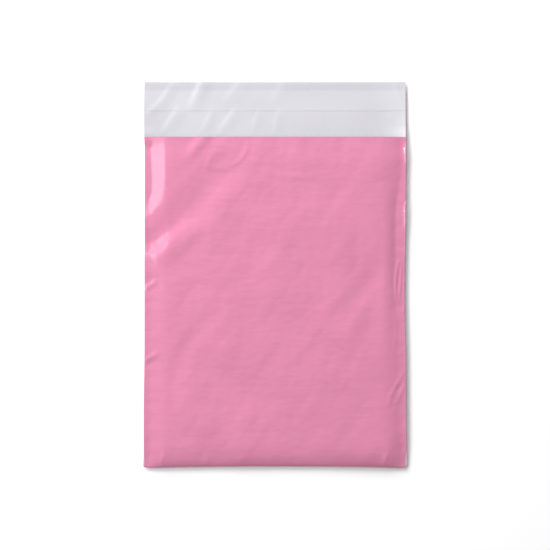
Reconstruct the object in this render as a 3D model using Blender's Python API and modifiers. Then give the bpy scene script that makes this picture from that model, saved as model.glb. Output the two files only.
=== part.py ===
"""Poly mailer bag, lying flat with its flap open.

One sheet of co-extruded film is folded into a J, so that its back ply is longer than its front ply by the flap.
Both side edges are welded by a hot knife, which leaves a sharp seam with no margin, and the mouth is left open.
A band of adhesive lies across the inner face of the flap, under a peel-off release liner.

Axes: +X across the bag, +Y from the bottom fold to the flap's end, +Z up from the surface that it lies on.
The origin is at the middle of the bag's footprint, on that surface.
"""

import math

import bmesh
import bpy

MM = 0.001

# The sheet, as it is cut and folded
BAG_WIDTH = 240 * MM
BODY_LENGTH = 300 * MM
FLAP_LENGTH = 50 * MM
FILM_THICKNESS = 0.08 * MM

# The form that the film takes when the bag lies filled out
BAG_HEIGHT = 8.0 * MM
SEAM_HEIGHT = 3.2 * MM
SIDE_SHOULDER = 20 * MM
BOTTOM_SHOULDER = 12 * MM
MOUTH_SHOULDER = 34 * MM
LIP_DROP = 1.4 * MM
MOUTH_BACK_RISE = 0.3 * MM
SIDE_DRAW_IN = 1.1 * MM
BOTTOM_DRAW_IN = 1.2 * MM
BOTTOM_DRAW_REACH = 40 * MM

# The free flap past the mouth
FLAP_END_MIDDLE_RISE = 0.4 * MM
FLAP_END_EDGE_HEIGHT = 2.4 * MM

# The closure on the flap's inner face
LINER_WIDTH = 18 * MM
LINER_FROM_FLAP_END = 8 * MM
LINER_THICKNESS = 0.06 * MM
ADHESIVE_WIDTH = 12 * MM
ADHESIVE_SIDE_MARGIN = 4 * MM
ADHESIVE_THICKNESS = 0.10 * MM
LAYER_GAP = 0.3 * MM

# How finely the surfaces are divided
SHOULDER_COLUMNS = 5
MIDDLE_COLUMNS = 12
BOTTOM_ROWS = 5
BODY_ROWS = 18
FLAP_ROWS = 5
STRIP_ROWS = 2
WELD_DISTANCE = 0.001 * MM

HALF_WIDTH = BAG_WIDTH / 2
BAG_LENGTH = BODY_LENGTH + FLAP_LENGTH
BOTTOM_Y = -BAG_LENGTH / 2
MOUTH_Y = BOTTOM_Y + BODY_LENGTH
FLAP_END_Y = BAG_LENGTH / 2
INNER_FLOOR = FILM_THICKNESS
INNER_TOP = BAG_HEIGHT - FILM_THICKNESS


def clamp(value):
    return min(1.0, max(0.0, value))


def mix(first, second, share):
    return first + (second - first) * share


def smooth(value):
    t = clamp(value)
    return t * t * (3 - 2 * t)


def slope_in(distance, reach):
    """From 0 at a welded seam to 1 at the end of the shoulder, steepest at the seam."""
    return 1 - (1 - clamp(distance / reach)) ** 2


def round_in(distance, reach):
    """From 0 at a fold to 1 at the end of the shoulder, as a quarter of an ellipse."""
    return math.sqrt(1 - (1 - clamp(distance / reach)) ** 2)


def half_width_at(y):
    """The seams are drawn in a little where the bag is full, and meet its corners at the full width."""
    from_bottom = smooth((y - BOTTOM_Y) / (BODY_LENGTH / 3))
    from_mouth = 0.35 * smooth((y - MOUTH_Y + BODY_LENGTH / 3) / (BODY_LENGTH / 3))
    return HALF_WIDTH - SIDE_DRAW_IN * (from_bottom - from_mouth)


def drawn_up(across, y):
    """The bottom fold is drawn up between its corners, and less so further from the fold."""
    near_fold = 1 - smooth((y - BOTTOM_Y) / BOTTOM_DRAW_REACH)
    return y + BOTTOM_DRAW_IN * near_fold * (1 - abs(across) ** 5)


def fullness(across, y, half):
    """0 at the side seams and at the bottom fold, and 1 where the two plies lie furthest apart."""
    from_side = slope_in((1 - abs(across)) * half, SIDE_SHOULDER)
    return from_side * round_in(y - BOTTOM_Y, BOTTOM_SHOULDER)


def front_height(across, y, half):
    """Inner face of the front ply, which falls a little towards its lip at the mouth."""
    past_shoulder = smooth((y - MOUTH_Y + MOUTH_SHOULDER) / MOUTH_SHOULDER)
    top = INNER_TOP - LIP_DROP * past_shoulder
    return mix(SEAM_HEIGHT, top, fullness(across, y, half))


def back_height(across, y, half):
    """Inner face of the back ply, which lies flat on the surface between the shoulders."""
    past_shoulder = smooth((y - MOUTH_Y + MOUTH_SHOULDER) / MOUTH_SHOULDER)
    floor = INNER_FLOOR + MOUTH_BACK_RISE * past_shoulder
    return mix(SEAM_HEIGHT, floor, fullness(across, y, half))


def flap_height(across, y, half):
    """Inner face of the flap, which keeps the back ply's raised sides and levels out towards its end."""
    past_mouth = smooth((y - MOUTH_Y) / FLAP_LENGTH)
    edge = mix(SEAM_HEIGHT, FLAP_END_EDGE_HEIGHT, past_mouth)
    middle = INNER_FLOOR + MOUTH_BACK_RISE + FLAP_END_MIDDLE_RISE * past_mouth
    reach = mix(SIDE_SHOULDER, HALF_WIDTH, past_mouth)
    return mix(edge, middle, slope_in((1 - abs(across)) * half, reach))


def point_on_ply(height, across, y):
    half = half_width_at(y)
    return (across * half, drawn_up(across, y), height(across, y, half))


def column_stations():
    """Places across the sheet, from -1 to 1, closer together on the two shoulders."""
    shoulder = SIDE_SHOULDER / HALF_WIDTH
    left = [-1 + shoulder * i / SHOULDER_COLUMNS for i in range(SHOULDER_COLUMNS)]
    middle = [
        mix(-1 + shoulder, 1 - shoulder, i / MIDDLE_COLUMNS) for i in range(MIDDLE_COLUMNS + 1)
    ]
    return left + middle + [-place for place in reversed(left)]


def body_row_stations():
    """Places along the bag from the bottom fold to the mouth, closer together around the fold."""
    fold = [
        BOTTOM_Y + BOTTOM_SHOULDER * (1 - math.cos(math.pi / 2 * i / BOTTOM_ROWS))
        for i in range(BOTTOM_ROWS)
    ]
    straight = [
        mix(BOTTOM_Y + BOTTOM_SHOULDER, MOUTH_Y, i / BODY_ROWS) for i in range(BODY_ROWS + 1)
    ]
    return fold + straight


def film_rows():
    """Every row of the sheet in order: down the flap and the back ply, round the fold, and up the front ply."""
    body = body_row_stations()
    flap = [mix(FLAP_END_Y, MOUTH_Y, i / FLAP_ROWS) for i in range(FLAP_ROWS)]
    down = [(flap_height, y) for y in flap] + [(back_height, y) for y in reversed(body)]
    up = [(front_height, y) for y in body[1:]]
    return down + up


def sheet_mesh(name, columns, rows, place):
    """A grid with one vertex for each column and row, each moved to place(column, row)."""
    sheet = bmesh.new()
    grid = bmesh.ops.create_grid(
        sheet, x_segments=len(columns) - 1, y_segments=len(rows) - 1, size=1
    )
    for vertex in grid["verts"]:
        column = round((vertex.co.x + 1) / 2 * (len(columns) - 1))
        row = round((vertex.co.y + 1) / 2 * (len(rows) - 1))
        vertex.co = place(columns[column], rows[row])
    bmesh.ops.remove_doubles(sheet, verts=sheet.verts, dist=WELD_DISTANCE)
    mesh = bpy.data.meshes.new(name)
    sheet.to_mesh(mesh)
    sheet.free()
    return mesh


def finish(name, colour, roughness, transmission=0.0):
    material = bpy.data.materials.new(name)
    material.use_nodes = True
    shader = material.node_tree.nodes["Principled BSDF"]
    shader.inputs["Base Color"].default_value = (*colour, 1)
    shader.inputs["Roughness"].default_value = roughness
    shader.inputs["Metallic"].default_value = 0
    shader.inputs["Transmission Weight"].default_value = transmission
    return material


def add_sheet(collection, mesh, thickness, materials):
    """An object for the sheet, thickened on the side that its faces point to."""
    piece = bpy.data.objects.new(mesh.name, mesh)
    collection.objects.link(piece)
    for material in materials:
        mesh.materials.append(material)
    solidify = piece.modifiers.new("Thickness", "SOLIDIFY")
    solidify.thickness = thickness
    solidify.offset = 1
    solidify.use_even_offset = True
    solidify.material_offset = len(materials) - 1
    mesh.shade_smooth()
    mesh.set_sharp_from_angle(angle=math.radians(40))
    return piece


def make_film_bag(collection):
    """The folded film. Its side seams are where the edges of the two plies meet and merge."""
    pink_face = finish("pink film face", (0.78, 0.28, 0.45), 0.3)
    pale_face = finish("pale inner film face", (0.74, 0.73, 0.78), 0.3)
    mesh = sheet_mesh(
        "film_bag",
        column_stations(),
        film_rows(),
        lambda across, row: point_on_ply(row[0], across, row[1]),
    )
    return add_sheet(collection, mesh, FILM_THICKNESS, [pink_face, pale_face])


def make_strip(collection, name, middle_y, width, side_margin, lift, thickness, material):
    """A band across the flap that follows its inner face, lifted clear of what is under it."""
    low_y = middle_y - width / 2
    rows = [low_y + width * i / STRIP_ROWS for i in range(STRIP_ROWS + 1)]
    share = 1 - side_margin / HALF_WIDTH

    def place(across, y):
        x, along, height = point_on_ply(flap_height, across * share, y)
        return (x, along, height + lift)

    mesh = sheet_mesh(name, column_stations(), rows, place)
    return add_sheet(collection, mesh, thickness, [material])


def make_closure(collection):
    """The adhesive band and, over it, the liner that is peeled off to close the bag."""
    middle_y = FLAP_END_Y - LINER_FROM_FLAP_END - LINER_WIDTH / 2
    make_strip(
        collection,
        "adhesive_strip",
        middle_y,
        ADHESIVE_WIDTH,
        ADHESIVE_SIDE_MARGIN,
        LAYER_GAP,
        ADHESIVE_THICKNESS,
        finish("clear adhesive", (0.85, 0.82, 0.72), 0.2, transmission=0.5),
    )
    make_strip(
        collection,
        "release_liner",
        middle_y,
        LINER_WIDTH,
        0,
        2 * LAYER_GAP + ADHESIVE_THICKNESS,
        LINER_THICKNESS,
        finish("white release liner", (0.80, 0.79, 0.83), 0.4),
    )


def main():
    for thing in list(bpy.data.objects):
        bpy.data.objects.remove(thing, do_unlink=True)
    collection = bpy.data.collections.new("poly mailer bag")
    bpy.context.scene.collection.children.link(collection)
    make_film_bag(collection)
    make_closure(collection)


main()
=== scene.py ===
"""The looks of a poly mailer bag that lies on its back with its flap open.

Run as a script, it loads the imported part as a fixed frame, builds the film, the adhesive band and the
release liner around it, and sets the studio up. Lengths are in metres. +X runs across the bag, +Y from its
bottom fold to the flap's end, and +Z up out of its front.
"""

import math
from typing import NamedTuple

import bmesh
import bpy
import numpy as np
from bpy.props import FloatProperty, FloatVectorProperty, IntProperty, PointerProperty
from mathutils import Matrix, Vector


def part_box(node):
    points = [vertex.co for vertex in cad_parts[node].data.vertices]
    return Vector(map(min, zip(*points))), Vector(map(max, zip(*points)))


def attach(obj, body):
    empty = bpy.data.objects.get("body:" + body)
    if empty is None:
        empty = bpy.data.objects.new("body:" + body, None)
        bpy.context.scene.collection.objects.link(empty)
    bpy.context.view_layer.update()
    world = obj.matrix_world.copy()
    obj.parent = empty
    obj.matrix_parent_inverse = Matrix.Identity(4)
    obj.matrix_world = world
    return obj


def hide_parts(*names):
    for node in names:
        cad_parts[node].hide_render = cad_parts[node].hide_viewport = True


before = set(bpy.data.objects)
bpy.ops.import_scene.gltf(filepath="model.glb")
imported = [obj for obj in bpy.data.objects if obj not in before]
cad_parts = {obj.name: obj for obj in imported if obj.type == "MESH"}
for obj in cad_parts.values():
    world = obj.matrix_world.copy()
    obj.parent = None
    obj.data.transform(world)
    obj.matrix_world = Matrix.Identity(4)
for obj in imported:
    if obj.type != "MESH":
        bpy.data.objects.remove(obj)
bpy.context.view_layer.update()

bl_info = {
    "name": "Poly Mailer Bag",
    "version": (1, 0, 0),
    "blender": (4, 5, 0),
    "location": "3D View > Sidebar > Mailer",
    "description": "Builds a film mailing bag with its flap open, and a studio to show it in",
    "category": "Add Mesh",
}

MM = 0.001

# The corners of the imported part's liner and adhesive band
LINER_LOW, LINER_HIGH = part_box("release_liner")
GLUE_LOW, GLUE_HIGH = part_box("adhesive_strip")
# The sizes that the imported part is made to, with the origin in the middle of its footprint
BAG_WIDTH = 240 * MM
BODY_LENGTH = 300 * MM
FLAP_LENGTH = 50 * MM
BOTTOM_Y = -(BODY_LENGTH + FLAP_LENGTH) / 2
MOUTH_Y = BOTTOM_Y + BODY_LENGTH
FLAP_END_Y = MOUTH_Y + FLAP_LENGTH


# --- Smooth shapes over arrays of places -----------------------------------------------------------------


def eased(share):
    """From 0 to 1 with a level start and a level end."""
    t = np.clip(share, 0, 1)
    return t * t * (3 - 2 * t)


def between(first, second, share):
    return first + (second - first) * share


def rounded_in(distance, reach):
    """From 0 at an edge to 1 at the end of its shoulder, as a quarter of an ellipse."""
    return np.sqrt(1 - (1 - np.clip(distance / reach, 0, 1)) ** 2)


def through(stations, place):
    """A smooth line through (place, value) stations.

    It never swings past them, and is level past both ends.
    """
    places, values = np.array(stations, dtype=float).T
    steepness = np.diff(values) / np.diff(places)
    before, after = steepness[:-1], steepness[1:]
    slopes = np.zeros(len(places))
    going_on = before * after > 0
    slopes[1:-1][going_on] = (2 * before * after / (before + after + (~going_on)))[going_on]
    i = np.clip(np.searchsorted(places, place) - 1, 0, len(places) - 2)
    span = places[i + 1] - places[i]
    t = np.clip((place - places[i]) / span, 0, 1)
    rise = eased(t)
    bow_in = t * (1 - t) ** 2 * span * slopes[i]
    bow_out = t * t * (t - 1) * span * slopes[i + 1]
    return between(values[i], values[i + 1], rise) + bow_in + bow_out


def lower_of(first, second, rounding):
    """The lower of two heights, rounded off where they cross."""
    share = np.clip(0.5 + 0.5 * (second - first) / rounding, 0, 1)
    return between(second, first, share) - rounding * share * (1 - share)


def higher_of(first, second, rounding):
    return -lower_of(-first, -second, rounding)


def ripples(x, y, length, seed, stretch=1.0, waves=14):
    """An aimless unevenness of about that wave length, mostly between -1 and 1.

    Stretch lengthens it along Y.
    """
    random = np.random.default_rng(seed)
    total = np.zeros_like(x)
    for _ in range(waves):
        heading = random.uniform(0, math.tau)
        number = math.tau / (length * random.uniform(0.7, 1.5))
        phase = random.uniform(0, math.tau)
        total += np.cos(number * (x * math.cos(heading) + y * math.sin(heading) / stretch) + phase)
    return total / math.sqrt(waves * 2)


def bent_line(points, steps=8):
    """Points along a smooth line through the given ones."""
    points = np.array(points, dtype=float)
    if len(points) == 2:
        return points
    ahead = np.gradient(points, axis=0)
    line = []
    for i in range(len(points) - 1):
        for t in np.arange(steps) / steps:
            rise = t * t * (3 - 2 * t)
            line.append(
                between(points[i], points[i + 1], rise)
                + t * (1 - t) ** 2 * ahead[i]
                + t * t * (t - 1) * ahead[i + 1]
            )
    return np.array(line + [points[-1]])


# A fold's height falls off towards its ends as a sine of that power
FOLD_END_POWER = 0.7


def fold(x, y, points, height, left, right, crisp=0.0):
    """What one fold adds to the film's height: a ridge, or a valley where the height is below 0.

    It runs through its points, in millimetres as all its sizes, and fades out at both ends and over its own
    width on each side of the line. Left and right are those of someone who walks along it. Crisp is 0 for a
    soft roll of film and 1 for a sharp crease.
    """
    line = bent_line(points) * MM
    reach = max(left, right) * MM
    low, high = line.min(axis=0) - reach, line.max(axis=0) + reach
    near = (x > low[0]) & (x < high[0]) & (y > low[1]) & (y < high[1])
    added = np.zeros_like(x)
    if not near.any():
        return added
    px, py = x[near], y[near]
    steps = np.linalg.norm(np.diff(line, axis=0), axis=1)
    starts = np.concatenate([[0], np.cumsum(steps)])
    best = np.full(px.shape, np.inf)
    side = np.zeros_like(px)
    along = np.zeros_like(px)
    for (ax, ay), (bx, by), step, start in zip(line[:-1], line[1:], steps, starts):
        ux, uy = (bx - ax) / step, (by - ay) / step
        t = np.clip((px - ax) * ux + (py - ay) * uy, 0, step)
        dx, dy = px - ax - t * ux, py - ay - t * uy
        distance = np.hypot(dx, dy)
        closer = distance < best
        best = np.where(closer, distance, best)
        side = np.where(closer, ux * dy - uy * dx, side)
        along = np.where(closer, (start + t) / starts[-1], along)
    away = np.clip(best / (np.where(side > 0, left, right) * MM), 0, 1)
    soft = 0.5 + 0.5 * np.cos(math.pi * away)
    sharp = (1 - away) ** 2
    ends = np.sin(math.pi * along) ** FOLD_END_POWER
    added[near] = height * MM * between(soft, sharp, crisp) * ends
    return added


# --- The film's form -------------------------------------------------------------------------------------


class Side(NamedTuple):
    """One side of the bag.

    Its lists hold (y, value) stations. Sizes are in millimetres, and slopes, tilts, curls and slants are rise
    over run.
    """

    seam: list  # X of the side seam
    shoulder: list  # how far in from the seam the front ply reaches its full height
    rounding: float  # how softly it does so
    margin: list  # how far in from the seam the slope up to there begins
    slope: list  # how steep that slope is
    tilt: list  # how the margin outside it climbs towards the seam
    curl: list  # how steeply the margin's edge turns up
    slant: list  # how far aslant of X the changes in that slope run
    flap_edge: list  # height of the flap's cut edge


LEFT = Side(
    seam=[
        (-175, -119.2), (-160, -118.6), (-120, -118.5), (-60, -117.8), (30, -117.8), (100, -117.7),
        (118, -118.0), (128, -118.4), (148, -118.6), (175, -118.3),
    ],
    shoulder=[(-175, 18.8), (8, 18.8), (28, 22.0), (40, 22.5), (58, 19.5), (64, 18.8), (125, 18.8)],
    rounding=0.5,
    margin=[
        (-175, 5.0), (-60, 5.0), (34, 4.6), (50, 4.0), (60, 3.0), (68, 4.2), (78, 6.2), (100, 5.4),
        (125, 4.6),
    ],
    slope=[
        (-175, 0.29), (-160, 0.23), (-140, 0.14), (-100, 0.12), (-84, 0.14), (-70, 0.11), (-20, 0.12),
        (-8, 0.16), (4, 0.12), (14, 0.13), (20, 0.16), (25, 0.23), (31, 0.24), (38, 0.21), (50, 0.16),
        (60, 0.16), (70, 0.25), (80, 0.31), (90, 0.33), (115, 0.33), (122, 0.22), (127, 0.19),
    ],
    tilt=[(-175, 0.0), (-90, 0.05), (-20, 0.03), (40, 0.06), (60, 0.08), (115, 0.08), (125, 0.0)],
    curl=[(-175, 0.0), (125, 0.0)],
    slant=[(-175, 0.0), (10, 0.1), (20, 0.35), (38, 0.45), (58, 0.9), (84, 0.9), (102, 0.2), (125, 0.0)],
    flap_edge=[(120, 3.4), (135, 2.8), (150, 2.4), (175, 2.2)],
)  # fmt: skip
RIGHT = Side(
    seam=[
        (-175, 119.6), (-132, 118.8), (-77, 118.5), (-23, 117.6), (31, 118.1), (86, 118.6), (125, 118.8),
        (175, 118.8),
    ],
    shoulder=[(-175, 16.2), (125, 16.2)],
    rounding=1.3,
    margin=[
        (-175, 4.5), (-120, 5.5), (-60, 7.0), (0, 8.2), (30, 8.8), (60, 8.6), (80, 6.0), (95, 4.0),
        (125, 4.0),
    ],
    slope=[
        (-175, 0.36), (-160, 0.28), (-140, 0.20), (-100, 0.20), (-60, 0.21), (-20, 0.28), (10, 0.33),
        (60, 0.31), (80, 0.22), (110, 0.17), (126, 0.16),
    ],
    tilt=[(-175, -0.05), (-100, -0.08), (-40, -0.08), (20, -0.04), (60, 0.0), (100, 0.0), (122, 0.0)],
    curl=[
        (-175, 0.1), (36, 0.1), (44, 0.4), (60, 0.8), (66, 0.1), (97, 0.1), (103, 0.5), (114, 0.8),
        (120, 0.1),
    ],
    slant=[(-175, 0.0), (125, 0.0)],
    flap_edge=[(120, 4.4), (135, 3.6), (150, 3.0), (175, 2.6)],
)  # fmt: skip
# How far in from the seam the changes in a slope lie at their own y
SLANT_MIDDLE = 12 * MM
# The outermost part of a margin, by the weld, where its curl is
EDGE_WIDTH = 3 * MM
# How softly a margin turns into its slope
MARGIN_ROUNDING = 0.3 * MM
# How far in from the edges the sheets' columns stay close together
SHOULDER_ZONE = 22 * MM
# The front ply between its shoulders, and its slack fall from there to its lip
FRONT_HEIGHT = 7.6 * MM
SLACK_FROM_Y = 100 * MM
LIP_DROP = 1.0 * MM
# The roll at the bottom fold: how far it reaches up the front and up the back, and the height of its nose
BOTTOM_ROLL = 22 * MM
BACK_ROLL = 9 * MM
NOSE_HEIGHT = 2.6 * MM
# How far the bottom fold is drawn up, and how much of that is left to the middle
BOTTOM_DRAW = 1.6 * MM
BOTTOM_DRAW_REACH = 40 * MM
MIDDLE_DRAW_SHARE = 0.75
DRAW_POWER = 2.4
# Its corners are rounded off over that share of half its width
CORNER_ROUNDING = 0.9 * MM
CORNER_SHARE = 0.07
# The back ply lies a little above the surface, with an unevenness of its own
BACK_GAP = 0.14 * MM
BACK_LIFT = 0.12 * MM
BACK_WAVE = 40 * MM
BACK_SEED = 21
# Near its edges it rises to the seams, in a curve of that power
BACK_RISE = 21 * MM
RISE_POWER = 1.8
# The flap stands higher, rises to its edges over a wider reach, and curls up at its end
FLAP_LIFT = 0.45 * MM
FLAP_RISE = 34 * MM
FLAP_CURL = 0.5 * MM
FLAP_CURL_WIDTH = 9 * MM
LOWEST_FLAP = 0.12 * MM
FLAP_FOLDS_POWER = 0.4
# How far past the mouth the height of the seams has become that of the flap's cut edges
FREE_EDGE_EASE = 10 * MM
# The slack film's unevenness: its height, wave length and seed, and how far it is drawn out along Y
RIPPLES = [
    (0.62 * MM, 64 * MM, 11, 1.4),
    (0.24 * MM, 26 * MM, 12, 1.6),
    (0.08 * MM, 12 * MM, 14, 1.5),
    (0.032 * MM, 7 * MM, 15, 1.0),
]
RIPPLES_FROM = 12 * MM
RIPPLES_FULL = 38 * MM
# How far in from the seams the front ply's folds and its small edge folds have their full height
FOLDS_FULL = 12 * MM
EDGE_FOLDS_FULL = 1.5 * MM
# The small puckers along the welds. X is scaled down, so they run inwards from the weld.
PUCKER_HEIGHT = 0.12 * MM
PUCKER_LENGTH = 12 * MM
PUCKER_SEED = 13
PUCKER_X_SCALE = 0.35
PUCKER_FULL = 3 * MM
PUCKER_FADE_FROM = 6 * MM
PUCKER_FADE = 12 * MM
# The taut shoulder by the mouth on the left smooths out that share of them
TAUT_SHARE = 0.76
TAUT_WIDTH = 24 * MM
TAUT_FROM_Y = 54 * MM
TAUT_EASE = 10 * MM

# Folds: the line's points, then the height, the widths on the left and on the right of the line, and how
# crisp the fold is
FRONT_FOLDS = [
    # the long valley from the mouth to the left seam, and the roll beside it
    ([(-38, 112), (-48, 95), (-60, 79), (-76, 61), (-93, 41), (-110, 20)], -1.9, 28, 23, 0.0),
    ([(-19, 122), (-20, 104), (-23, 90), (-32, 77), (-48, 68), (-70, 56)], 0.22, 9, 14, 0.0),
    # the pocket under the mouth
    ([(-24, 127), (-24, 117), (-27, 109), (-34, 101), (-43, 97)], 0.5, 3.0, 5, 0.7),
    ([(-40, 96.5), (-53, 96.5), (-60, 99), (-58, 106), (-54, 114)], 0.35, 4, 4, 0.4),
    ([(-50, 110), (-48, 104), (-42, 103)], -0.35, 6, 6, 0.0),
    # the rolls that start at the lip
    ([(-53, 138), (-64, 124), (-73, 113), (-82, 101)], 0.95, 8, 8, 0.0),
    ([(6, 132), (8, 118), (4, 106)], 0.2, 6, 6, 0.0),
    ([(22, 122), (30, 112), (34, 100)], -0.4, 9, 8, 0.0),
    ([(62, 130), (60, 114), (66, 100)], -0.25, 10, 9, 0.0),
    # the edge of what it holds, under the mouth
    ([(-16, 95), (4, 91), (24, 89), (40, 89)], 0.25, 3.5, 5, 0.3),
    # slack folds from the right
    ([(100, 10), (84, -10), (68, -28), (50, -46)], -0.55, 14, 15, 0.0),
    ([(92, -36), (76, -64), (60, -94)], -0.5, 14, 14, 0.0),
    ([(72, 34), (74, 14), (68, -6)], -0.3, 9, 9, 0.0),
    ([(86, 134), (90, 112), (96, 86)], 0.6, 16, 24, 0.0),
    # slack folds on the left
    ([(-54, -30), (-70, -50), (-84, -76), (-92, -108)], -0.5, 12, 12, 0.0),
    ([(-100, -2), (-80, 6), (-60, 2)], -0.3, 12, 9, 0.0),
]
# Small folds that the welded margins gather into
EDGE_FOLDS = [
    ([(-112, 17), (-98, 24), (-86, 34), (-70, 49)], 1.8, 13, 17, 0.0),
    ([(-121, -14), (-114, -10), (-106, -5)], 0.8, 3.5, 5, 0.3),
    ([(-121, -80), (-113, -75), (-104, -70)], 0.65, 3.5, 5, 0.3),
    ([(-117, 127), (-114, 121), (-113, 114)], 0.35, 2.5, 2.5, 0.2),
    ([(112.4, 14), (110.6, 3), (109.8, -10), (110.6, -24)], 0.7, 2, 2.5, 0.4),
    ([(115.2, 10), (114.6, 0), (113.6, -14), (112.4, -26)], 0.55, 1.6, 2.0, 0.4),
    ([(119, -86), (113, -96), (106, -108), (103, -120)], 0.45, 3, 4, 0.3),
    ([(119, -97), (115, -106), (110, -118)], 0.4, 3, 3.5, 0.3),
    ([(108, -34), (110, -50), (108, -70)], 0.2, 3, 3, 0.2),
    # where the bottom fold gathers
    ([(-101, -178), (-103, -170), (-100, -162)], 0.5, 3, 3, 0.2),
    ([(-62, -178), (-61, -169), (-63, -162)], 0.4, 3, 3, 0.2),
    ([(-32, -178), (-31, -170), (-28, -163)], 0.4, 3, 3, 0.2),
    ([(99, -178), (100, -168), (104, -160)], 0.5, 3, 3, 0.2),
    ([(12, -167), (20, -164), (29, -166)], 0.3, 3, 3, 0.2),
]
FLAP_FOLDS = [
    # across the end and the liner
    ([(-91, 175), (-97, 166), (-105, 155)], 0.4, 10, 4, 0.0),
    ([(-61, 186), (-67, 172), (-73, 158), (-77, 149)], 0.85, 13, 5, 0.1),
    ([(-24, 181), (-36, 167), (-46, 154)], 0.4, 15, 6, 0.0),
    ([(16, 181), (4, 166), (-5, 152)], 0.25, 13, 6, 0.0),
    ([(-100, 160), (-110, 151), (-119, 144)], 0.4, 9, 4, 0.1),
    # between the liner and the mouth
    ([(-86, 152), (-94, 140), (-106, 121)], 0.9, 12, 5, 0.1),
    ([(-56, 151), (-61, 139), (-68, 124)], 0.7, 9, 3.5, 0.1),
    ([(-34, 152), (-43, 139), (-54, 121)], 0.85, 12, 4.5, 0.1),
    ([(-14, 150), (-18, 138), (-22, 123)], 0.5, 8, 3, 0.1),
    ([(3.5, 151), (1.5, 138), (-1, 121)], 0.6, 9, 3, 0.2),
    # the end's right corner
    ([(108, 175), (112, 165), (117, 153)], 0.35, 3, 3, 0.2),
    ([(103, 146), (108, 139)], 0.2, 2.5, 2.5, 0.0),
]


def at(stations, y):
    """The value of a side's list at a place along the bag."""
    return through(stations, y / MM)


def seam_x(side, y):
    return at(side.seam, y) * MM


def across_at(share, y):
    """X of a column, whose share runs from -1 at the left seam to 1 at the right one."""
    return between(seam_x(LEFT, y), seam_x(RIGHT, y), (share + 1) / 2)


def drawn_up(share, y):
    """Y of a place, with the bottom fold drawn up between its corners and the corners rounded off."""
    near_fold = 1 - eased((y - BOTTOM_Y) / BOTTOM_DRAW_REACH)
    draw = BOTTOM_DRAW * (MIDDLE_DRAW_SHARE - np.abs(share) ** DRAW_POWER)
    corner = CORNER_ROUNDING * np.clip((np.abs(share) - 1 + CORNER_SHARE) / CORNER_SHARE, 0, 1) ** 2
    return y + near_fold * (draw + corner)


def top_height(y):
    """The front ply between its shoulders, which falls slackly towards its lip."""
    return FRONT_HEIGHT - LIP_DROP * eased((y - SLACK_FROM_Y) / (MOUTH_Y - SLACK_FROM_Y))


def shoulder_height(side, distance, y):
    """The front ply from a side seam inwards: its margin, the slope up, and the top."""
    slope = at(side.slope, y - at(side.slant, y) * (distance - SLANT_MIDDLE))
    margin = at(side.margin, y) * MM
    foot = top_height(y) - slope * (at(side.shoulder, y) * MM - margin)
    inside = foot + slope * (distance - margin)
    curl = at(side.curl, y) * np.maximum(0, EDGE_WIDTH - distance) ** 2 / (2 * EDGE_WIDTH)
    outside = foot + at(side.tilt, y) * (margin - distance) + curl
    return lower_of(top_height(y), higher_of(inside, outside, MARGIN_ROUNDING), side.rounding * MM)


def seam_height(side, y):
    """A side seam, or past the mouth the flap's cut edge."""
    welded = shoulder_height(side, np.zeros_like(y), y)
    free = at(side.flap_edge, y) * MM
    return between(welded, free, eased((y - MOUTH_Y) / FREE_EDGE_EASE))


def seam_heights(x, y):
    """The height of the seams, easing from the left one to the right one across the bag."""
    share = (x - seam_x(LEFT, y)) / (seam_x(RIGHT, y) - seam_x(LEFT, y))
    return between(seam_height(LEFT, y), seam_height(RIGHT, y), eased(share))


def nearer_seam(x, y):
    return np.minimum(x - seam_x(LEFT, y), seam_x(RIGHT, y) - x)


def with_folds(height, x, y, folds, strength):
    """That height with a list of folds added to it."""
    for points, *sizes in folds:
        height = height + fold(x, y, points, *sizes) * strength
    return height


def front_height(x, y):
    """Inner face of the front ply."""
    from_left, from_right = x - seam_x(LEFT, y), seam_x(RIGHT, y) - x
    height = np.minimum(shoulder_height(LEFT, from_left, y), shoulder_height(RIGHT, from_right, y))
    nearer = np.minimum(from_left, from_right)
    height = with_folds(height, x, y, FRONT_FOLDS, eased(nearer / FOLDS_FULL))
    slack = eased((nearer - RIPPLES_FROM) / (RIPPLES_FULL - RIPPLES_FROM))
    for rise, length, seed, stretch in RIPPLES:
        height = height + rise * ripples(x, y, length, seed, stretch) * slack
    height = with_folds(height, x, y, EDGE_FOLDS, eased(nearer / EDGE_FOLDS_FULL))
    taut = (1 - eased((from_left - TAUT_WIDTH) / TAUT_EASE)) * eased((y - TAUT_FROM_Y) / TAUT_EASE)
    pucker = PUCKER_HEIGHT * ripples(x * PUCKER_X_SCALE, y, PUCKER_LENGTH, PUCKER_SEED)
    pucker = pucker * (1 - TAUT_SHARE * taut)
    fading = 1 - eased((nearer - PUCKER_FADE_FROM) / PUCKER_FADE)
    height = height + pucker * eased(nearer / PUCKER_FULL) * fading
    return between(NOSE_HEIGHT, height, rounded_in(y - BOTTOM_Y, BOTTOM_ROLL))


def floor_height(x, y):
    """Inner face of the film where it lies on the surface."""
    return BACK_GAP + BACK_LIFT * (1 + ripples(x, y, BACK_WAVE, BACK_SEED))


def rise_to_seams(floor, x, y, reach):
    """From the floor up to the seams, within that reach of them."""
    rise = (1 - np.clip(nearer_seam(x, y) / reach, 0, 1)) ** RISE_POWER
    return between(floor, seam_heights(x, y), rise)


def back_height(x, y):
    """Inner face of the back ply, which lies on the surface between its shoulders."""
    height = rise_to_seams(floor_height(x, y), x, y, BACK_RISE)
    return between(NOSE_HEIGHT, height, rounded_in(y - BOTTOM_Y, BACK_ROLL))


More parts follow.
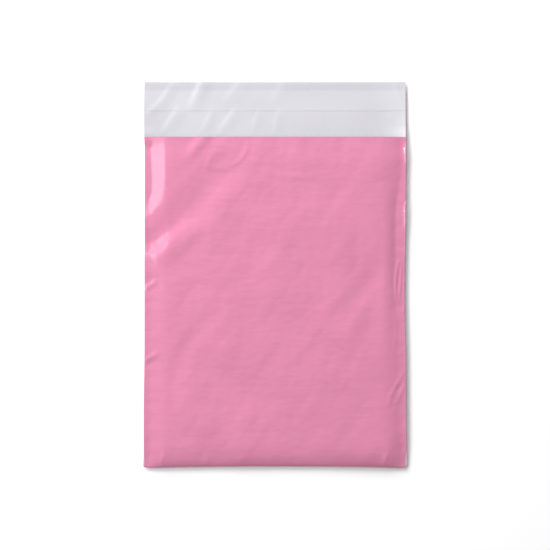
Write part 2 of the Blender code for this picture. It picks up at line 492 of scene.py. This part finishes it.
def flap_height(x, y):
    """Inner face of the flap."""
    past_mouth = eased((y - MOUTH_Y) / FLAP_LENGTH)
    floor = floor_height(x, y) + FLAP_LIFT * past_mouth
    height = rise_to_seams(floor, x, y, between(BACK_RISE, FLAP_RISE, past_mouth))
    height = with_folds(height, x, y, FLAP_FOLDS, past_mouth**FLAP_FOLDS_POWER)
    curl = FLAP_CURL * eased((y - FLAP_END_Y + FLAP_CURL_WIDTH) / FLAP_CURL_WIDTH)
    return np.maximum(height + curl, LOWEST_FLAP)


# --- Meshes ----------------------------------------------------------------------------------------------


def sheet_mesh(name, columns, rows, place):
    """A grid with one vertex for each column and row, moved to place(column, row)."""
    grid = bmesh.new()
    bmesh.ops.create_grid(grid, x_segments=len(columns) - 1, y_segments=len(rows) - 1, size=1)
    mesh = bpy.data.meshes.new(name)
    grid.to_mesh(mesh)
    grid.free()
    flat = np.empty(len(mesh.vertices) * 3)
    mesh.vertices.foreach_get("co", flat)
    flat = flat.reshape(-1, 3)
    column = np.rint((flat[:, 0] + 1) / 2 * (len(columns) - 1)).astype(int)
    row = np.rint((flat[:, 1] + 1) / 2 * (len(rows) - 1)).astype(int)
    mesh.vertices.foreach_set("co", place(columns[column], rows[row]).ravel())
    return mesh


SHARP_ANGLE = math.radians(50)
# How much closer together the columns get towards the sheets' edges
EDGE_CROWDING = 1.7


def thickened(name, mesh, thickness, materials):
    """The sheet as a solid of that thickness, grown on the side that its faces point to."""
    piece = bpy.data.objects.new(name, mesh)
    bpy.context.scene.collection.objects.link(piece)
    for material in materials:
        mesh.materials.append(material)
    solidify = piece.modifiers.new("Thickness", "SOLIDIFY")
    solidify.thickness = thickness
    solidify.offset = 1
    solidify.material_offset = len(materials) - 1
    solidify.material_offset_rim = len(materials) - 1
    bpy.context.view_layer.update()
    solid = bpy.data.meshes.new_from_object(piece.evaluated_get(bpy.context.evaluated_depsgraph_get()))
    piece.modifiers.clear()
    piece.data = solid
    solid.name = name
    bpy.data.meshes.remove(mesh)
    solid.shade_smooth()
    solid.set_sharp_from_angle(angle=SHARP_ANGLE)
    return piece


def column_shares(edge_columns, shoulder_columns, middle_columns):
    """Places across the sheet from -1 to 1: closest together at its edges, and close on the shoulders."""
    half = BAG_WIDTH / 2
    edge, shoulder = EDGE_WIDTH / half, SHOULDER_ZONE / half
    outer = -1 + edge * (np.arange(edge_columns) / edge_columns) ** EDGE_CROWDING
    left = np.linspace(-1 + edge, -1 + shoulder, shoulder_columns, endpoint=False)
    middle = np.linspace(-1 + shoulder, 1 - shoulder, middle_columns + 1)
    return np.concatenate([outer, left, middle, -left[::-1], -outer[::-1]])


FLAP, BACK, FRONT = 0, 1, 2


def film_rows(flap_rows, back_rows, roll_rows, front_rows):
    """(ply, y) of each row, from the flap's end down the back, round the bottom fold and up to the lip."""
    turned = math.pi / 2 * np.arange(1, roll_rows + 1) / roll_rows
    roll = BOTTOM_Y + BOTTOM_ROLL * (1 - np.cos(turned))
    flap = np.linspace(FLAP_END_Y, MOUTH_Y, flap_rows, endpoint=False)
    back = np.linspace(MOUTH_Y, roll[-1], back_rows, endpoint=False)
    front = np.linspace(roll[-1], MOUTH_Y, front_rows + 1)[1:]
    rows = [(FLAP, y) for y in flap] + [(BACK, y) for y in back]
    rows += [(BACK, y) for y in roll[::-1]] + [(FRONT, BOTTOM_Y)]
    rows += [(FRONT, y) for y in roll] + [(FRONT, y) for y in front]
    return np.array(rows)


def place_film(share, row):
    """Where the film's vertices are, from their shares across it and their (ply, y) rows."""
    ply, y = row[:, 0], row[:, 1]
    x = across_at(share, y)
    height = np.zeros_like(x)
    for which, form in ((FLAP, flap_height), (BACK, back_height), (FRONT, front_height)):
        here = ply == which
        height[here] = form(x[here], y[here])
    return np.stack([x, drawn_up(share, y), height], axis=1)


# --- Materials -------------------------------------------------------------------------------------------

# Lower than polyethylene's 1.5 or so, to weaken the white reflections that low views show
FILM_IOR = 1.38
ROUGHNESS_VARIATION = 0.05


def film_grain_group():
    """Node group: the unevenness of blown film, as a colour, a roughness and a normal."""
    name = "Blown film"
    if name in bpy.data.node_groups:
        return bpy.data.node_groups[name]
    group = bpy.data.node_groups.new(name, "ShaderNodeTree")

    def socket(label, kind, direction, default=None):
        made = group.interface.new_socket(label, in_out=direction, socket_type=kind)
        if default is not None:
            made.default_value = default

    socket("Colour", "NodeSocketColor", "INPUT", (0.8, 0.8, 0.8, 1))
    socket("Cloudiness", "NodeSocketFloat", "INPUT", 0.03)
    socket("Roughness", "NodeSocketFloat", "INPUT", 0.25)
    socket("Roughness variation", "NodeSocketFloat", "INPUT", ROUGHNESS_VARIATION)
    socket("Grain height", "NodeSocketFloat", "INPUT", 0.00001)
    socket("Colour", "NodeSocketColor", "OUTPUT")
    socket("Roughness", "NodeSocketFloat", "OUTPUT")
    socket("Normal", "NodeSocketVector", "OUTPUT")
    nodes, links = group.nodes, group.links
    given = nodes.new("NodeGroupInput")
    result = nodes.new("NodeGroupOutput")
    place = nodes.new("ShaderNodeTexCoord")

    def noise(scale, detail, stretch=(1, 1, 1)):
        """Noise of that many spots a metre, lengthened by the stretch along each axis."""
        mapping = nodes.new("ShaderNodeMapping")
        mapping.inputs["Scale"].default_value = [scale / s for s in stretch]
        links.new(place.outputs["Object"], mapping.inputs["Vector"])
        texture = nodes.new("ShaderNodeTexNoise")
        texture.inputs["Scale"].default_value = 1
        texture.inputs["Detail"].default_value = detail
        links.new(mapping.outputs["Vector"], texture.inputs["Vector"])
        return texture.outputs["Fac"]

    def centred(value, strength):
        """(value - 0.5) times twice the strength."""
        middle = nodes.new("ShaderNodeMath")
        middle.operation = "SUBTRACT"
        middle.inputs[1].default_value = 0.5
        links.new(value, middle.inputs[0])
        double = nodes.new("ShaderNodeMath")
        double.operation = "MULTIPLY"
        double.inputs[1].default_value = 2
        links.new(middle.outputs[0], double.inputs[0])
        scaled = nodes.new("ShaderNodeMath")
        scaled.operation = "MULTIPLY"
        links.new(double.outputs[0], scaled.inputs[0])
        links.new(strength, scaled.inputs[1])
        return scaled.outputs[0]

    clouds = centred(noise(scale=28, detail=4), given.outputs["Cloudiness"])
    brightness = nodes.new("ShaderNodeMath")
    brightness.operation = "ADD"
    brightness.inputs[1].default_value = 1
    links.new(clouds, brightness.inputs[0])
    tint = nodes.new("ShaderNodeVectorMath")
    tint.operation = "SCALE"
    links.new(given.outputs["Colour"], tint.inputs[0])
    links.new(brightness.outputs[0], tint.inputs["Scale"])
    links.new(tint.outputs[0], result.inputs["Colour"])

    patches = centred(noise(scale=60, detail=3), given.outputs["Roughness variation"])
    rough = nodes.new("ShaderNodeMath")
    rough.operation = "ADD"
    rough.use_clamp = True
    links.new(patches, rough.inputs[0])
    links.new(given.outputs["Roughness"], rough.inputs[1])
    links.new(rough.outputs[0], result.inputs["Roughness"])

    lines = noise(scale=240, detail=2, stretch=(3, 1, 1))
    skin = noise(scale=170, detail=3)
    both = nodes.new("ShaderNodeMath")
    both.operation = "ADD"
    links.new(lines, both.inputs[0])
    links.new(skin, both.inputs[1])
    height = nodes.new("ShaderNodeMath")
    height.operation = "MULTIPLY"
    links.new(both.outputs[0], height.inputs[0])
    links.new(given.outputs["Grain height"], height.inputs[1])
    bump = nodes.new("ShaderNodeBump")
    bump.inputs["Distance"].default_value = 1
    links.new(height.outputs[0], bump.inputs["Height"])
    links.new(bump.outputs["Normal"], result.inputs["Normal"])
    return group


def film_material(name, colour, roughness, cloudiness, grain):
    """An opaque film finish: the blown film group feeds a plain Principled BSDF."""
    material = bpy.data.materials.new(name)
    material.use_nodes = True
    tree = material.node_tree
    shader = tree.nodes["Principled BSDF"]
    film = tree.nodes.new("ShaderNodeGroup")
    film.node_tree = film_grain_group()
    film.inputs["Colour"].default_value = (*colour, 1)
    film.inputs["Cloudiness"].default_value = cloudiness
    film.inputs["Roughness"].default_value = roughness
    film.inputs["Roughness variation"].default_value = ROUGHNESS_VARIATION
    film.inputs["Grain height"].default_value = grain
    tree.links.new(film.outputs["Colour"], shader.inputs["Base Color"])
    tree.links.new(film.outputs["Roughness"], shader.inputs["Roughness"])
    tree.links.new(film.outputs["Normal"], shader.inputs["Normal"])
    shader.inputs["IOR"].default_value = FILM_IOR
    return material


# --- Settings --------------------------------------------------------------------------------------------


class FilmSettings(bpy.types.PropertyGroup):
    """The film's gauge, colours and fineness"""

    thickness: FloatProperty(
        name="Thickness", description="Gauge of the film", default=0.08 * MM, unit="LENGTH", precision=5
    )
    outer_colour: FloatVectorProperty(
        name="Outside", description="Colour of the outer face", default=(0.64, 0.222, 0.352), subtype="COLOR"
    )
    inner_colour: FloatVectorProperty(
        name="Inside", description="Colour of the inner face", default=(0.573, 0.564, 0.601), subtype="COLOR"
    )
    roughness: FloatProperty(
        name="Roughness",
        description="Roughness of the glossy skin",
        default=0.22,
        min=0,
        max=1,
        subtype="FACTOR",
    )
    middle_columns: IntProperty(
        name="Columns", description="Columns between the shoulders", default=108, min=8
    )
    front_rows: IntProperty(name="Rows", description="Rows up the front ply", default=176, min=8)


class ClosureSettings(bpy.types.PropertyGroup):
    """The gauges and colours of the adhesive band and the release liner"""

    liner_colour: FloatVectorProperty(
        name="Liner",
        description="Colour of the release liner",
        default=(0.583, 0.573, 0.613),
        subtype="COLOR",
    )
    liner_thickness: FloatProperty(
        name="Liner thickness",
        description="Gauge of the liner",
        default=0.06 * MM,
        unit="LENGTH",
        precision=5,
    )
    glue_colour: FloatVectorProperty(
        name="Adhesive",
        description="Colour of the adhesive band",
        default=(0.78, 0.75, 0.66),
        subtype="COLOR",
    )
    glue_thickness: FloatProperty(
        name="Adhesive thickness",
        description="Depth of the band",
        default=0.04 * MM,
        unit="LENGTH",
        precision=5,
    )


class StageSettings(bpy.types.PropertyGroup):
    """The camera's place and the strength of the lights"""

    view_width: FloatProperty(
        name="View width", description="Width of the view at the bag", default=0.5, unit="LENGTH"
    )
    camera_height: FloatProperty(
        name="Camera height", description="Camera above the surface", default=1.6, unit="LENGTH"
    )
    key_power: FloatProperty(name="Key", description="Power of the soft key light", default=101, unit="POWER")
    side_power: FloatProperty(name="Side", description="Power of the strip light", default=8.0, unit="POWER")
    fill_strength: FloatProperty(
        name="Fill", description="Strength of the surrounding light", default=0.39, min=0
    )


# --- Operators -------------------------------------------------------------------------------------------


class MAILER_OT_film(bpy.types.Operator):
    """Build the folded film: flap, back ply, bottom fold and front ply"""

    bl_idname = "mailer.film"
    bl_label = "Film"

    def execute(self, context):
        settings = context.scene.mailer_film
        pink = film_material(
            "pink film face", settings.outer_colour, settings.roughness, cloudiness=0.02, grain=0.00016
        )
        pale = film_material(
            "pale inner film face", settings.inner_colour, roughness=0.28, cloudiness=0.015, grain=0.000004
        )
        mesh = sheet_mesh(
            "film",
            column_shares(edge_columns=6, shoulder_columns=19, middle_columns=settings.middle_columns),
            film_rows(flap_rows=48, back_rows=54, roll_rows=14, front_rows=settings.front_rows),
            place_film,
        )
        film = thickened("film", mesh, settings.thickness, [pink, pale])
        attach(film, "root")
        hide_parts("film_bag")
        return {"FINISHED"}


STRIP_ROWS = 13
# The gap under each strip, and how far the adhesive band ends short of the flap's edges
STRIP_GAP = 0.01 * MM
GLUE_MARGIN = 4 * MM


def strip(name, low_y, high_y, side_margin, lift, thickness, material):
    """A band across the flap that follows its inner face."""
    shares = column_shares(edge_columns=5, shoulder_columns=14, middle_columns=100)
    columns = shares * (1 - side_margin / (BAG_WIDTH / 2))
    rows = np.linspace(low_y, high_y, STRIP_ROWS)

    def place(share, y):
        x = across_at(share, y)
        return np.stack([x, y, flap_height(x, y) + lift], axis=1)

    return thickened(name, sheet_mesh(name, columns, rows, place), thickness, [material])


class MAILER_OT_closure(bpy.types.Operator):
    """Build the adhesive band on the flap and the release liner over it"""

    bl_idname = "mailer.closure"
    bl_label = "Adhesive and liner"

    def execute(self, context):
        settings = context.scene.mailer_closure
        glue_face = film_material(
            "adhesive", settings.glue_colour, roughness=0.15, cloudiness=0.02, grain=0.000004
        )
        liner_face = film_material(
            "release liner", settings.liner_colour, roughness=0.3, cloudiness=0.012, grain=0.000003
        )
        glue = strip(
            "adhesive", GLUE_LOW.y, GLUE_HIGH.y, GLUE_MARGIN, STRIP_GAP, settings.glue_thickness, glue_face
        )
        liner_lift = 2 * STRIP_GAP + settings.glue_thickness
        liner = strip(
            "liner", LINER_LOW.y, LINER_HIGH.y, 0, liner_lift, settings.liner_thickness, liner_face
        )
        for piece, node, slot in ((glue, "adhesive_strip", "adhesive"), (liner, "release_liner", "liner")):
            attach(piece, "root")
            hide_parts(node)
        return {"FINISHED"}


# From the floor's middle to its edges
FLOOR_REACH = 8
# Where over the bag the camera looks straight down
EYE_X = 0.3 * MM
EYE_Y = -0.2 * MM


def area_light(name, location, size, power):
    """A rectangular light that faces the middle of the bag."""
    light = bpy.data.lights.new(name, "AREA")
    light.shape = "RECTANGLE"
    light.size, light.size_y = size
    light.energy = power
    lamp = bpy.data.objects.new(name, light)
    bpy.context.scene.collection.objects.link(lamp)
    lamp.location = location
    lamp.rotation_euler = (-Vector(location)).to_track_quat("-Z", "Y").to_euler()


class MAILER_OT_stage(bpy.types.Operator):
    """Set up the floor, the lights and the camera"""

    bl_idname = "mailer.stage"
    bl_label = "Studio"

    def execute(self, context):
        scene = context.scene
        settings = scene.mailer_stage
        mesh = bpy.data.meshes.new("floor")
        grid = bmesh.new()
        bmesh.ops.create_grid(grid, x_segments=1, y_segments=1, size=FLOOR_REACH)
        grid.to_mesh(mesh)
        grid.free()
        floor = bpy.data.objects.new("floor", mesh)
        scene.collection.objects.link(floor)
        material = bpy.data.materials.new("floor")
        material.use_nodes = True
        shader = material.node_tree.nodes["Principled BSDF"]
        shader.inputs["Base Color"].default_value = (0.96, 0.96, 0.96, 1)
        shader.inputs["Roughness"].default_value = 1
        shader.inputs["Specular IOR Level"].default_value = 0
        mesh.materials.append(material)

        world = bpy.data.worlds.new("studio")
        scene.world = world
        world.use_nodes = True
        sky = world.node_tree.nodes["Background"]
        sky.inputs["Color"].default_value = (1, 1, 1, 1)
        sky.inputs["Strength"].default_value = settings.fill_strength

        area_light("key", (-0.95, 2.13, 1.25), (1.8, 1.8), settings.key_power)
        area_light("side", (-0.985, 0.12, 1.08), (0.80, 0.45), settings.side_power)

        camera = bpy.data.cameras.new("camera")
        camera.sensor_width = 36
        camera.lens = camera.sensor_width * settings.camera_height / settings.view_width
        camera.clip_start, camera.clip_end = 0.05, 50
        eye = bpy.data.objects.new("camera", camera)
        scene.collection.objects.link(eye)
        eye.location = (EYE_X, EYE_Y, settings.camera_height)
        scene.camera = eye
        scene.view_settings.view_transform = "Standard"
        return {"FINISHED"}


class MAILER_PT_sidebar(bpy.types.Panel):
    """Lists the mailer's pieces"""

    bl_label = "Poly Mailer Bag"
    bl_space_type = "VIEW_3D"
    bl_region_type = "UI"
    bl_category = "Mailer"

    def draw(self, context):
        scene = context.scene
        for operator, settings in (
            (MAILER_OT_film, scene.mailer_film),
            (MAILER_OT_closure, scene.mailer_closure),
            (MAILER_OT_stage, scene.mailer_stage),
        ):
            box = self.layout.box()
            for name in settings.__annotations__:
                box.prop(settings, name)
            box.operator(operator.bl_idname)


CLASSES = (
    FilmSettings,
    ClosureSettings,
    StageSettings,
    MAILER_OT_film,
    MAILER_OT_closure,
    MAILER_OT_stage,
    MAILER_PT_sidebar,
)


def register():
    for each in CLASSES:
        bpy.utils.register_class(each)
    bpy.types.Scene.mailer_film = PointerProperty(type=FilmSettings)
    bpy.types.Scene.mailer_closure = PointerProperty(type=ClosureSettings)
    bpy.types.Scene.mailer_stage = PointerProperty(type=StageSettings)


def unregister():
    del bpy.types.Scene.mailer_stage
    del bpy.types.Scene.mailer_closure
    del bpy.types.Scene.mailer_film
    for each in reversed(CLASSES):
        bpy.utils.unregister_class(each)


def main():
    register()
    bpy.ops.mailer.film()
    bpy.ops.mailer.closure()
    bpy.ops.mailer.stage()


if __name__ == "__main__":
    main()
